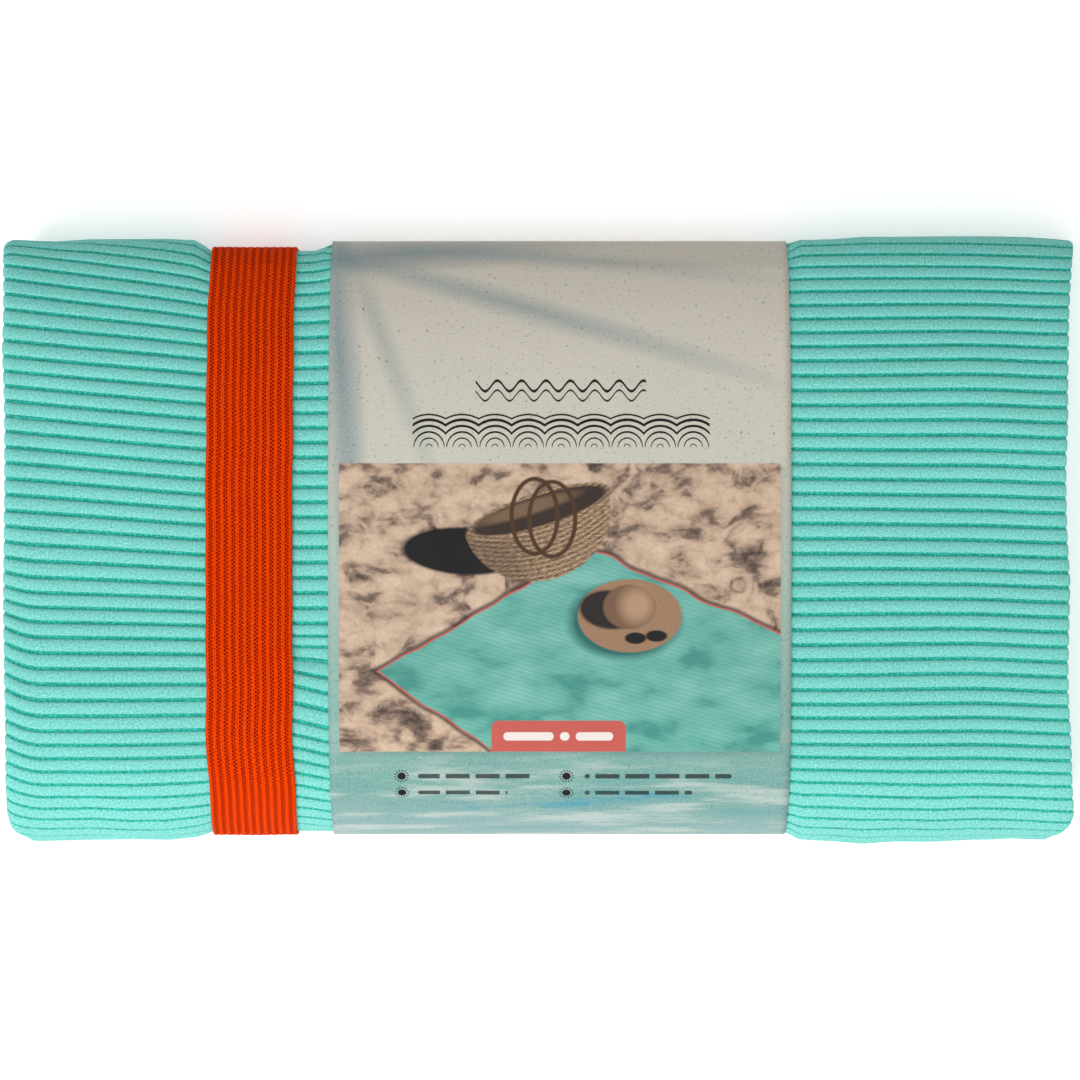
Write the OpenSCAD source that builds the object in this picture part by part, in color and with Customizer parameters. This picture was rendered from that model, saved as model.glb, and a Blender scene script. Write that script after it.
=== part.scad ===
// Folded travel towel, held by a knitted elastic loop and a printed paper sleeve.
// The ribs of the cloth run along X. The bundle lies on its back, and its front faces +Z.

/* [Folded towel] */
// Length of the folded towel, along its ribs
towel_len = 300; // [260:5:340]
// Width of the folded towel, across its ribs
towel_wid = 168; // [140:1:190]
// Thickness of one strip of six sheets
strip_t = 7.0; // [5:0.1:8]
// Air between one strip and the next
strip_gap = 0.3; // [0.3:0.05:0.5]
// Share of its height that the bundle loses at its two long sides
edge_drop = 0.42; // [0.2:0.02:0.5]
// How sharply the +Y side slopes down
slope_power_pos = 3; // [2:0.5:5]
// How sharply the -Y side slopes down
slope_power_neg = 4; // [2:0.5:5]

/* [Edging and label] */
// Width of the overlocked edging
overlock_w = 2.2; // [1.5:0.1:3]
// Thickness of the two short edges, where they lie together
overlock_t = 2.4; // [1.6:0.1:3]
// Distance of the care label from the -X end
label_inset = 25; // [5:5:200]
// Width of the care label
label_w = 25; // [15:1:40]
// Length of the care label
label_len = 40; // [20:1:60]
// Thickness of the care label
label_t = 0.1; // [0.08:0.01:0.12]

/* [Elastic loop] */
// Width of the elastic
elastic_w = 25; // [15:1:40]
// Thickness of the elastic
elastic_t = 1.0; // [0.8:0.1:1.2]
// Place of the elastic's outer edge along X
elastic_x = -93; // [-120:1:-90]
// Length of one stitch across the elastic's join
stitch_len = 5; // [3:0.5:8]
// Width of one stitch
stitch_w = 0.6; // [0.4:0.1:0.8]
// Spacing of the stitches
stitch_pitch = 2; // [1.6:0.1:3]

/* [Paper sleeve] */
// Width of the sleeve
sleeve_w = 129; // [100:1:150]
// Thickness of the sleeve's card
sleeve_t = 0.35; // [0.2:0.05:0.35]
// Place of the sleeve's -X edge
sleeve_x = -59; // [-59:1:-40]
// Overlap of the sleeve's two ends on the back
sleeve_lap = 15; // [10:1:25]
// Thickness of the glue between the two ends
glue_t = 0.1; // [0.05:0.01:0.15]

/* [Hidden] */

cloth_colour = [0.42, 0.77, 0.73];
coral_colour = [0.86, 0.30, 0.18];
elastic_colour = [0.82, 0.22, 0.04];
label_colour = [0.95, 0.95, 0.93];
paper_colour = [0.74, 0.76, 0.72];
glue_colour = [0.90, 0.86, 0.70];

pitch = strip_t + strip_gap;            // height of one folded level
levels = 6;                             // strips lying on each other
stack_h = levels * pitch;
loop_gap = 0.3;                         // running room between the towel and a loop
loop_reach = loop_gap + elastic_t;      // how far each loop stands out from the towel
slot_w = 0.2;                           // slit where two ends of a loop meet
glue_inset = 2;                         // bare card round the glue
cut = 1;                                // how far a cutting solid overshoots
join_y = 20;                            // place of the elastic's join
lap_y = -5;                             // free end of the sleeve's outer lap
sheet_turn = 4;                         // room that six sheets need to turn round at an X end
edge_squash = 0.6;                      // how much thinner six stacked long edges are than the cloth
span_steps = 24;                        // pieces of each level's curve
turn_steps = 12;                        // pieces of each fold's half circle

// Centres of the folds: one at -Y, a low and a high one at +Y
fold_neg = -(towel_wid - stack_h + strip_gap) / 2;
fold_pos_low = towel_wid / 2 - 1.5 * pitch - strip_t / 2;
fold_pos_high = towel_wid / 2 - 0.5 * pitch - strip_t / 2;

// The bundle is a loaf: its height falls towards both long sides, and its back stays flat
function slope_power(y) = y > 0 ? slope_power_pos : slope_power_neg;
function rise(y) = 1 - edge_drop * pow(abs(2 * y / towel_wid), slope_power(y));
function rise_slope(y) = -edge_drop * slope_power(y) * sign(y) * 2 / towel_wid
                         * pow(abs(2 * y / towel_wid), slope_power(y) - 1);
function unit(v) = v / norm(v);

// A step is a place and its sideways direction, before the loaf shape is applied
function loaf(step, out) = [step[0].x + out * step[1].x, step[0].y + out * step[1].y];
function lift(p) = [p.x, loop_reach + p.y * rise(p.x)];
function lift_out(step, out) =
    let (y = step[0].x, z = step[0].y, n = step[1], h = rise(y))
    lift(step[0]) + out * unit([n.x - n.y * z * rise_slope(y) / h, n.y / h]);

function level_z(i) = (i + 0.5) * pitch;
function span(i, y0, y1) =
    [for (k = [0 : span_steps])
        [[y0 + (y1 - y0) * k / span_steps, level_z(i)], [0, sign(y1 - y0)]]];
function turn(y, i, j) =
    let (side = sign(y), mid = (level_z(i) + level_z(j)) / 2, half = (level_z(i) - level_z(j)) / 2,
         r = abs(half), hand = side * sign(half))
    [for (k = [1 : turn_steps - 1])
        let (a = 180 * k / turn_steps, out = [side * sin(a), sign(half) * cos(a)])
        [[y, mid] + r * out, hand * out]];

// The towel is halved and then folded in three, so its two long edges end inside, at -Y
fold_path = concat(
    span(3, fold_neg, fold_pos_low), turn(fold_pos_low, 3, 0),
    span(0, fold_pos_low, fold_neg), turn(fold_neg, 0, 5),
    span(5, fold_neg, fold_pos_high), turn(fold_pos_high, 5, 4),
    span(4, fold_pos_high, fold_neg), turn(fold_neg, 4, 1),
    span(1, fold_neg, fold_pos_low), turn(fold_pos_low, 1, 2),
    span(2, fold_pos_low, fold_neg));

// Outline of a ribbon of thickness t that follows a path
function ribbon(path, t) = concat(
    [for (step = path) lift(loaf(step, t / 2))],
    [for (k = [len(path) - 1 : -1 : 0]) lift(loaf(path[k], -t / 2))]);

// Outline of the whole bundle, grown by a distance
function arc(c, r, a0, a1) =
    [for (k = [0 : turn_steps])
        let (a = a0 + (a1 - a0) * k / turn_steps, out = [cos(a), sin(a)]) [c + r * out, out]];
function bundle_outline(grow) =
    let (r_neg = stack_h / 2, r_low = 2 * pitch, r_high = pitch, half = towel_wid / 2,
         top0 = half - r_high, top1 = r_neg - half)
    [for (step = concat(
        arc([half - r_low, r_low], r_low, -90, 0),
        arc([top0, stack_h - r_high], r_high, 0, 90),
        [for (k = [1 : span_steps - 1])
            [[top0 + (top1 - top0) * k / span_steps, stack_h], [0, 1]]],
        arc([top1, r_neg], r_neg, 90, 270))) lift_out(step, grow)];

// Turns a section drawn in Y and Z into a solid that starts at x
module along_x(x, length) {
    translate([x, 0, 0]) rotate([90, 0, 90]) linear_extrude(length) children();
}

module loop(x, width, inner, outer) {
    difference() {
        along_x(x, width) polygon(bundle_outline(outer));
        along_x(x - cut, width + 2 * cut) polygon(bundle_outline(inner));
    }
}

module short_edge_body() {
    along_x(sheet_turn - towel_len / 2, overlock_w) polygon(ribbon(fold_path, overlock_t));
}

module towel_cloth() {
    color(cloth_colour) difference() {
        along_x(-towel_len / 2, towel_len) polygon(ribbon(fold_path, strip_t));
        short_edge_body();
    }
}

module long_edge_overlock() {
    color(coral_colour)
    for (i = [2, 3])
        along_x(-towel_len / 2, towel_len)
            polygon(ribbon([[[fold_neg, level_z(i)], [0, -1]],
                            [[fold_neg - overlock_w, level_z(i)], [0, -1]]],
                           strip_t - edge_squash));
}

module short_edge_overlock() {
    color(coral_colour) short_edge_body();
}

module care_label() {
    label_path = [for (k = [0 : span_steps])
        [[fold_neg + label_len * k / span_steps, 3 * pitch], [0, 1]]];
    color(label_colour)
    along_x(label_inset - towel_len / 2, label_w) polygon(ribbon(label_path, label_t));
}

module join_stitches() {
    count = floor(elastic_w / stitch_pitch) - 1;
    first = elastic_x + (elastic_w - (count - 1) * stitch_pitch - stitch_w) / 2;
    for (k = [0 : count - 1])
        translate([first + k * stitch_pitch, join_y - stitch_len / 2, 0])
            cube([stitch_w, stitch_len, elastic_t]);
}

module elastic_band() {
    color(elastic_colour) difference() {
        loop(elastic_x, elastic_w, loop_gap, loop_reach);
        translate([elastic_x - cut, join_y - slot_w / 2, -cut])
            cube([elastic_w + 2 * cut, slot_w, elastic_t + 2 * cut]);
        join_stitches();
    }
}

module elastic_join_stitch() {
    color(coral_colour) join_stitches();
}

// The outer end stops at lap_y, and the other end steps up over it to make the inner lap
module sleeve_wrap() {
    lap_z = sleeve_t + glue_t;
    step_y = lap_y - slot_w - sleeve_t;
    color(paper_colour) union() {
        difference() {
            loop(sleeve_x, sleeve_w, loop_reach - sleeve_t, loop_reach);
            translate([sleeve_x - cut, lap_y - slot_w, -cut])
                cube([sleeve_w + 2 * cut, slot_w, sleeve_t + 2 * cut]);
        }
        translate([sleeve_x, step_y, 0]) cube([sleeve_w, sleeve_t, lap_z + sleeve_t]);
        translate([sleeve_x, step_y, lap_z])
            cube([sleeve_w, lap_y + sleeve_lap - step_y, sleeve_t]);
    }
}

module sleeve_glue_strip() {
    color(glue_colour)
    translate([sleeve_x + glue_inset, lap_y + glue_inset, sleeve_t])
        cube([sleeve_w - 2 * glue_inset, sleeve_lap - 2 * glue_inset, glue_t]);
}

towel_cloth();
long_edge_overlock();
short_edge_overlock();
care_label();
elastic_band();
elastic_join_stitch();
sleeve_wrap();
sleeve_glue_strip();
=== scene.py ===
"""A folded ribbed travel towel, held by a knitted elastic loop and a printed paper sleeve.

The cloth is one sheet, folded in half and then in three both ways. It is made by carrying every
point of the flat sheet along two fold lines: one along the ribs (X) and one across them (Y).
"""
import math

import bpy
import numpy as np
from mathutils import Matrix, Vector


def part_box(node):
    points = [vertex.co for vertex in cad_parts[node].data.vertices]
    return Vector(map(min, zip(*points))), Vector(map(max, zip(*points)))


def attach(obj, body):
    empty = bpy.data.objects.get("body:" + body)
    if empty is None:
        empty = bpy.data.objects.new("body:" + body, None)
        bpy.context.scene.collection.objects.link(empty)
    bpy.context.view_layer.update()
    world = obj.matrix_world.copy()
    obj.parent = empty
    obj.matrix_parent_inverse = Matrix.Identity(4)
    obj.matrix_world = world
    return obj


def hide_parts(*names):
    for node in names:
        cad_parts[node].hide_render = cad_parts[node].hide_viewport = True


MM = 0.001
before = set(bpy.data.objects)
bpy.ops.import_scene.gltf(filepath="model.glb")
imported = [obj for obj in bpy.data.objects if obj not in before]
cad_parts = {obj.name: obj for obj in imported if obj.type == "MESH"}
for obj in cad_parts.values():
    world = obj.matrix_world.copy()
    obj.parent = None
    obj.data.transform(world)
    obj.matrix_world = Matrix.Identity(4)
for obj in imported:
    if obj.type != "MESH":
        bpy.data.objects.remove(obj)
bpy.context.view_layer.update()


# ------- sizes, in metres
RIB_ABOUT = 4.18 * MM                     # spacing of the ribs, before it is made to fit
SHEET = 1.17 * MM                         # one sheet to the next in a strip
SHEET_HALF = 0.55 * MM
CREST, GROOVE = 0.50 * MM, -0.25 * MM     # the ribs' tops and the grooves, from the sheet's middle
STRIP_GAP = 0.3 * MM                      # as in the CAD model
EDGE_DROP = 0.42                          # share of the height lost at the long sides
POWER_POS, POWER_NEG = 3.0, 4.0           # how late the height falls, towards +Y and towards -Y
LEVELS = 6                                # strips on top of each other

towel_low, towel_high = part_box("towel_cloth")
elastic_low, elastic_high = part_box("elastic_band")
sleeve_low, sleeve_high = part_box("sleeve_wrap")
WIDTH = towel_high.y - towel_low.y
HALF_W = WIDTH / 2
HALF_L = (towel_high.x - towel_low.x) / 2
TOWEL_BASE = towel_low.z - STRIP_GAP / 2
PITCH = (towel_high.z - towel_low.z + STRIP_GAP) / LEVELS
STACK = LEVELS * PITCH
STRIP_HALF = (PITCH - STRIP_GAP) / 2
EL0, EL1 = elastic_low.x, elastic_high.x
SL0, SL1 = sleeve_low.x, sleeve_high.x
ELASTIC_T = 1.0 * MM
CARD_T = 0.35 * MM


# ------- small numeric helpers
def ramp(x, a, b):
    """0 at a, 1 at b, and smooth between."""
    t = np.clip((x - a) / (b - a), 0, 1)
    return t * t * (3 - 2 * t)


def window(x, a, b, soft):
    """1 between a and b, falling to 0 over soft on both sides."""
    return ramp(x, a - soft, a) * (1 - ramp(x, b, b + soft))


class Waves:
    """Smooth, repeatable unevenness: a sum of sine waves in seeded directions."""

    def __init__(self, seed, length, count=9):
        rng = np.random.default_rng(seed)
        angle = rng.uniform(0, 2 * math.pi, count)
        size = 2 * math.pi / (length * rng.uniform(0.7, 1.6, count))
        self.kx, self.ky = size * np.cos(angle), size * np.sin(angle)
        self.phase = rng.uniform(0, 2 * math.pi, count)
        self.scale = math.sqrt(2 / count)

    def __call__(self, x, y):
        total = 0
        for kx, ky, phase in zip(self.kx, self.ky, self.phase):
            total = total + np.sin(kx * x + ky * y + phase)
        return total * self.scale


# ------- the fold line
class FoldLine:
    """A strip folded in half and then in three. Going along it, s runs from one free end to the
    other, and place(s) gives how far along and how high it is, and its sideways direction."""

    ORDER = [3, 0, 5, 4, 1, 2]            # the levels, counted from below, as the line reaches them

    def __init__(self, pitch, half_width, half_thick, skin):
        # Each row: start, end, height, a turn's radius, side and way up, and how the face looks
        low = -half_width + 2.5 * pitch + half_thick
        high = half_width - 1.5 * pitch - half_thick
        top = half_width - 0.5 * pitch - half_thick
        ends = [(low, high), (high, low), (low, top), (top, low), (low, high), (high, low)]
        self.parts = []
        at = 0.0
        for k, level in enumerate(self.ORDER):
            a0, a1 = ends[k]
            z = (level + 0.5 - LEVELS / 2) * pitch
            at = self._add(at, abs(a1 - a0), False, (a0, a1, z, 0, 0, 0, np.sign(a1 - a0)))
            if k + 1 < len(self.ORDER):
                z2 = (self.ORDER[k + 1] + 0.5 - LEVELS / 2) * pitch
                side, up = np.sign(a1 - a0), np.sign(z - z2)
                radius, hand = abs(z - z2) / 2, side * up
                row = (a1, a1, (z + z2) / 2, radius, side, up, hand)
                at = self._add(at, math.pi * (radius + max(hand, 0) * skin), True, row)
        self.length = at
        self.starts = np.array([p[0] for p in self.parts])
        self.sizes = np.array([p[1] for p in self.parts])
        self.turns = np.array([p[2] for p in self.parts])
        self.rows = np.array([p[3] for p in self.parts], float)

    def _add(self, at, size, turn, row):
        self.parts.append((at, size, turn, row))
        return at + size

    def part(self, k):
        """Start and end of the k-th stretch: even ones are levels, odd ones are turns."""
        return self.starts[k], self.starts[k] + self.sizes[k]

    def place(self, s):
        """How far along and how high s is, and the two parts of its sideways direction."""
        s = np.clip(s, 0, self.length - 1e-9)
        k = np.searchsorted(self.starts, s, side="right") - 1
        a0, a1, mid, radius, side, up, hand = np.moveaxis(self.rows[k], -1, 0)
        t = (s - self.starts[k]) / self.sizes[k]
        out_a, out_z = side * np.sin(math.pi * t), up * np.cos(math.pi * t)
        turn = self.turns[k]
        along = np.where(turn, a0 + radius * out_a, a0 + (a1 - a0) * t)
        height = np.where(turn, mid + radius * out_z, mid)
        n_along = np.where(turn, hand * out_a, 0)
        n_height = np.where(turn, hand * out_z, hand)
        return along, height, n_along, n_height


ACROSS = FoldLine(PITCH, HALF_W, STRIP_HALF, 2.5 * SHEET + SHEET_HALF)
ALONG = FoldLine(SHEET, HALF_L, SHEET_HALF, SHEET_HALF)
RIBS = math.floor(ACROSS.length / RIB_ABOUT)
RIB = ACROSS.length / RIBS


# ------- how the bundle lies
def left_free(x):
    """1 over the free -X end, and 0 beside the elastic."""
    return 1 - ramp(x, EL0 - 24 * MM, EL0 - 2 * MM)


def right_free(x):
    """1 over the free +X end, and 0 beside the sleeve."""
    return ramp(x, SL1 + 0.5 * MM, SL1 + 26 * MM)


def left_bulge(x):
    """How far the long sides swell out, left of the elastic: steeply at first, then gently."""
    steep = ramp(x, EL0 - 3.5 * MM, EL0 - 0.5 * MM)
    gentle = ramp(x, EL0 - 14 * MM, EL0 - 0.5 * MM)
    return 1 - 0.55 * steep - 0.45 * gentle


def right_bulge(x):
    """The same, right of the sleeve."""
    return 0.75 * ramp(x, SL1, SL1 + 4 * MM) + 0.25 * ramp(x, SL1, SL1 + 26 * MM)


def in_sleeve(x):
    """1 under the sleeve, and 0 beside it."""
    return window(x, SL0 + 0.5 * MM, SL1 - 0.5 * MM, 3.5 * MM)


def squeezed(x, start, end):
    """1 under the elastic, rising from start to end before it, and 0 again where the sleeve is."""
    return ramp(x, start, end) * (1 - ramp(x, EL1 + 4.5 * MM, SL0))


def tuck_corner(x, y, z):
    """Under the sleeve the upper +Y corner is pressed to a flat facet by the card's crease."""
    cy, cz = HALF_W - PITCH, STACK - PITCH
    dy, dz = np.maximum(y - cy, 0), np.maximum(z - cz, 0)
    angle = np.arctan2(dz, dy)
    flat = math.cos(math.pi / 4) / np.cos(angle - math.pi / 4)
    share = 1 - in_sleeve(x) * (1 - flat)
    inside = (y > cy) & (z > cz)
    return np.where(inside, cy + dy * share, y), np.where(inside, cz + dz * share, z)


def rise(y):
    """The share of its full height that the bundle has at y: less towards both long sides."""
    t = np.abs(y / HALF_W)
    return 1 - EDGE_DROP * np.where(y > 0, t ** POWER_POS, t ** POWER_NEG)


# The bundle's corners, seen from above: end, side, radius and how far the ends splay out there
CORNERS = (-1, -1, 4.0, 1.2), (1, -1, 9.0, 5.6), (-1, 1, 2.0, 3.4), (1, 1, 2.5, 5.6)


def settle(x, y, z):
    """From the straight stack (z from 0 to STACK) to the bundle as it lies, in the shared frame."""
    y, z = tuck_corner(x, y, z)
    t = y / HALF_W
    to_neg, to_pos = np.clip(-t, 0, 1.02) ** 10, np.clip(t, 0, 1.02) ** 10
    level = z / STACK
    free = left_free(x) + right_free(x)
    z = z * rise(y)
    # The free ends are thicker, the elastic squeezes, and the lower layers sag past the loops
    z = z * (1 + 0.020 * free - 0.022 * squeezed(x, EL0 - 16 * MM, EL0))
    z = z - 0.75 * MM * free * (1 - level) * (1 - 0.6 * np.abs(t) ** 3)
    # The long sides swell out where the loops don't hold them
    swell_neg = 2.4 * left_bulge(x) + 3.0 * right_bulge(x)
    grip = squeezed(x, EL0 - 4 * MM, EL0 - 0.5 * MM)
    swell_pos = 1.5 * (left_bulge(x) + right_bulge(x)) - 2.0 * grip
    y = y - MM * to_neg * swell_neg + MM * to_pos * swell_pos
    for end, side, radius, splay in CORNERS:
        x = shape_corner(x, y, end, side, radius * MM, splay * MM)
    return x, y, z + TOWEL_BASE


def shape_corner(x, y, end, side, radius, splay):
    """Lets the bundle's ends splay towards one corner, and rounds that corner."""
    near = np.clip((side * y - (HALF_W + 1.5 * MM - radius)) / radius, 0, 0.98)
    pull = radius * (1 - np.sqrt(1 - near ** 2)) * ramp(end * x, HALF_L - 4 * radius, HALF_L)
    push = splay * np.clip(side * y / HALF_W, 0, 1) ** 4 * ramp(end * x, HALF_L - 60 * MM, HALF_L)
    return x + end * (push - pull)


# ------- mesh helpers
def link(name, data):
    obj = bpy.data.objects.new(name, data)
    bpy.context.scene.collection.objects.link(obj)
    return obj


def corners(grid):
    """The four corners of every cell of a grid, going round the cell."""
    return np.stack([grid[:-1, :-1], grid[:-1, 1:], grid[1:, 1:], grid[1:, :-1]], 2)


def grid_mesh(name, points, uv, layer, ring_rows=False, ring_columns=False):
    """A grid of points (rows, columns, 3) as one smooth surface. A ring joins the last row or
    column to the first, and uv then has one row or column more than points."""
    rows, columns = points.shape[:2]
    index = np.arange(rows * columns).reshape(rows, columns)
    index = np.pad(index, ((0, int(ring_rows)), (0, int(ring_columns))), mode="wrap")
    faces = corners(index[..., None]).reshape(-1, 4)
    mesh = bpy.data.meshes.new(name)
    mesh.vertices.add(rows * columns)
    mesh.vertices.foreach_set("co", points.reshape(-1).astype(np.float32))
    mesh.loops.add(len(faces) * 4)
    mesh.loops.foreach_set("vertex_index", faces.reshape(-1).astype(np.int32))
    mesh.polygons.add(len(faces))
    mesh.polygons.foreach_set("loop_start", np.arange(0, len(faces) * 4, 4, dtype=np.int32))
    mesh.polygons.foreach_set("use_smooth", np.ones(len(faces), bool))
    mesh.update(calc_edges=True)
    places = mesh.uv_layers.new(name=layer).data
    places.foreach_set("uv", corners(uv).reshape(-1).astype(np.float32))
    mesh.validate()
    return link(name, mesh)


def finish_piece(piece, materials, nodes, body):
    """Gives a piece its materials, hides the CAD nodes that it stands for, and puts it under its
    body.
    """
    for material in materials:
        piece.data.materials.append(material)
    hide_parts(*nodes)
    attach(piece, body)


# ------- the cloth
uneven_surface = Waves(3, 46 * MM)
uneven_fine = Waves(5, 17 * MM)
uneven_left, uneven_right = Waves(11, 120 * MM), Waves(12, 120 * MM)
uneven_flow = Waves(23, 70 * MM)
uneven_rib = Waves(31, 9 * MM)

OUTER = 4                                 # on both fold lines, the part that lies outermost
FRONT0, FRONT1 = ACROSS.part(OUTER)       # where the front starts and ends, across the ribs
# Dents in the front, in mm: the middle's x and y, half sizes along x and y, and depth
DENTS = ((-63.5, -33, 7, 4.5, 1.5), (-104, -30, 9, 14, 0.5), (-64, 30, 6, 20, 0.4),
         (80, -52, 12, 6, 0.5))


def front_y(s):
    """Where s lies on the front, counted in y from the bundle's middle."""
    return s - FRONT0 + ACROSS.rows[OUTER][0]


def rib_height(s):
    """Broad flat ribs with narrow grooves between them."""
    off_groove = np.abs(s / RIB - np.round(s / RIB)) * RIB
    body = 1 - np.exp(-(off_groove / (0.60 * MM)) ** 4)
    crown = 0.90 + 0.10 * np.sin(math.pi * np.clip(off_groove / RIB, 0, 0.5))
    return GROOVE + (CREST - GROOVE) * body * crown


def across_lines():
    """Places of the grid lines across the ribs: close together where the cloth shows."""
    fine = np.array([0, 0.08, 0.15, 0.22, 0.5, 0.78, 0.85, 0.92])
    coarse = np.array([0, 0.28, 0.72])
    shown = ACROSS.part(1)[0] - 6 * MM, ACROSS.part(5)[1] + 4 * MM
    lines = []
    for k in range(RIBS):
        s = k * RIB
        lines += list(s + RIB * (fine if shown[0] <= s <= shown[1] else coarse))
    return np.array(lines + [RIBS * RIB])


def along_lines():
    """Places of the grid lines along the ribs."""
    top = np.array([-147, -145, -142.5, -139.5, -135, -126, -116, -106, -98, -95, -93.5, -91.5,
                    -80, -69, -66.5, -64, -61.5, -59, 0, 69.5, 71.5, 74, 78, 84, 92, 101, 111, 121,
                    130, 137, 143]) * MM
    hidden = np.array([-92, -64, -58, 68, 130]) * MM
    widest_turn = OUTER - 1
    lines = [0.0]
    for k in range(len(ALONG.parts)):
        s0, s1 = ALONG.part(k)
        if ALONG.turns[k]:
            count = 7 if k == widest_turn else 3
            lines += list(np.linspace(s0, s1, count + 2)[:-1])
            continue
        a0, a1 = ALONG.rows[k][:2]
        places = top if k == OUTER else hidden
        lines += [s0 + s for s in sorted((places - a0) * np.sign(a1 - a0))]
    return np.array(lines + [ALONG.length])


def flow(x, s):
    """How far the ribs drift across the bundle, away from straight lines. All of it but the wander
    is on the front, and fades out round the long sides."""
    near_front = window(s, FRONT0 - 25 * MM, FRONT1 + 25 * MM, 40 * MM)
    y = front_y(s)
    # Left of the elastic the ribs slant, and those over the dent stay full
    from_left = np.clip((EL0 - x) / (HALF_L + EL0), 0, 1)
    slant = 7.2 * ramp(y, -95 * MM, 50 * MM) + 2.2 * ramp(y, 44 * MM, 68 * MM) - 1.7
    full = 1.2 * MM * window(y, -40 * MM, -30 * MM, 18 * MM) * (1 - ramp(x, EL0, EL1))
    # At the -X end they hook upwards, and at the +X end they droop
    to_end = np.clip((-x - HALF_L + 10.5 * MM) / (10.5 * MM), 0, 1)
    hook = 3.6 * MM * to_end ** 1.7 * (1 - ramp(y, -45 * MM, 12 * MM))
    droop = -0.9 * MM * ramp(x, HALF_L - 30 * MM, HALF_L)
    # Towards both long sides they lie closer together or further apart
    climb = 3.3 * MM * ramp(-y, 40 * MM, 82 * MM) - 2.1 * MM * ramp(y, 48 * MM, 82 * MM)
    edge = -2.5 * MM * ramp(y, 70 * MM, 90 * MM)
    # Between the loops they fan out and lean, and sag except in the dent
    between = window(x, EL1 - 2 * MM, SL0 + 2 * MM, 14 * MM)
    spread = MM * (0.6 * ramp(y, 20 * MM, 70 * MM) - 2.6 * ramp(-y, 27 * MM, 42 * MM))
    lean = ramp(x, EL1 - 4 * MM, SL0 + 4 * MM) - 0.5
    in_dent = window(y, -41 * MM, -33 * MM, 12 * MM)
    sag = -2.3 * MM * (1 - ramp(y, 44 * MM, 76 * MM)) * (1 - in_dent)
    # Away from the sheet's edges they wander a little
    inside = window(s, 20 * MM, ACROSS.length - 20 * MM, 20 * MM)
    wander = 0.14 * MM * uneven_flow(x, s) * inside
    drift = MM * from_left * slant + full + hook + droop + climb + edge
    return near_front * (drift + between * (spread * lean + sag)) + wander


def dents(x, s):
    """Shallow hollows in the front, beside the loops."""
    total = 0
    for cx, cy, rx, ry, depth in DENTS:
        q = ((x - cx * MM) / (rx * MM)) ** 2 + ((front_y(s) - cy * MM) / (ry * MM)) ** 2
        total = total + depth * MM * np.exp(-q)
    return total


def lay(u, s, lift):
    """Where a point of the open towel ends up: u is its place along the ribs, s across them, and
    lift its height over the middle of the sheet."""
    x, h, n_x, n_h = ALONG.place(u)
    # The outermost layer is puffed and dented
    outer = window(u, *ALONG.part(OUTER), 4 * MM)
    free = left_free(x) + right_free(x)
    moved = s + flow(x, s)
    puffs = 0.30 * MM * uneven_surface(x, s) + 0.10 * MM * uneven_fine(x, s)
    lift = lift + outer * (free * puffs - dents(x, moved))
    # The layers' ends don't lie exactly over each other
    ragged = np.where(x < 0, uneven_left(s, 0), uneven_right(s, 0))
    trim = np.where(x < 0, -0.7, 2.0)
    short = MM * (0.9 * np.abs(ragged) + trim) * ramp(np.abs(x), HALF_L - 45 * MM, HALF_L)
    x = x + lift * n_x - short * np.sign(x)
    h = h + lift * n_h
    y, z, n_y, n_z = ACROSS.place(moved)
    return np.stack(settle(x, y + h * n_y, z + h * n_z + STACK / 2), -1)


def make_cloth():
    """The one sheet with its ribs, folded up."""
    s, u = np.meshgrid(across_lines(), along_lines(), indexing="ij")
    x = ALONG.place(u)[0]
    turning = ramp(np.abs(x), HALF_L - 3 * MM, HALF_L)
    relief = rib_height(s) * (1 + 0.10 * uneven_rib(x, s)) * (1 - 0.5 * turning)
    return grid_mesh("towel_cloth_sheet", lay(u, s, relief), np.stack([u, s], -1), "Cloth")


THREAD_STEP = 1.2 * MM                    # spacing of the overlock's rows along an edge
# The overlock's cross-section, going round the sheet's edge
THREAD_INSET = np.array([2.2, 1.5, 0.7, 0.15, 0, 0.15, 0.7, 1.5, 2.2]) * MM
THREAD_LIFT = np.array([0.35, 0.52, 0.52, 0.36, 0, -0.36, -0.50, -0.50, -0.30]) * MM


def bound_edge(name, along_x, far):
    """The overlock thread round one edge of the sheet: a long edge lies along X."""
    length, width = ALONG.length, ACROSS.length
    size, across = (length, width) if along_x else (width, length)
    run = np.linspace(0, size, int(size / THREAD_STEP))
    run, inset = np.meshgrid(run, THREAD_INSET, indexing="ij")
    side = across - inset if far else inset
    u, s = (run, side) if along_x else (side, run)
    points = lay(u, s, np.broadcast_to(THREAD_LIFT, run.shape))
    round_edge = np.arange(len(THREAD_INSET)) * 0.6 * MM
    uv = np.stack([run, np.broadcast_to(round_edge, run.shape)], -1)
    return grid_mesh(name, points, uv, "Thread")


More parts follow.
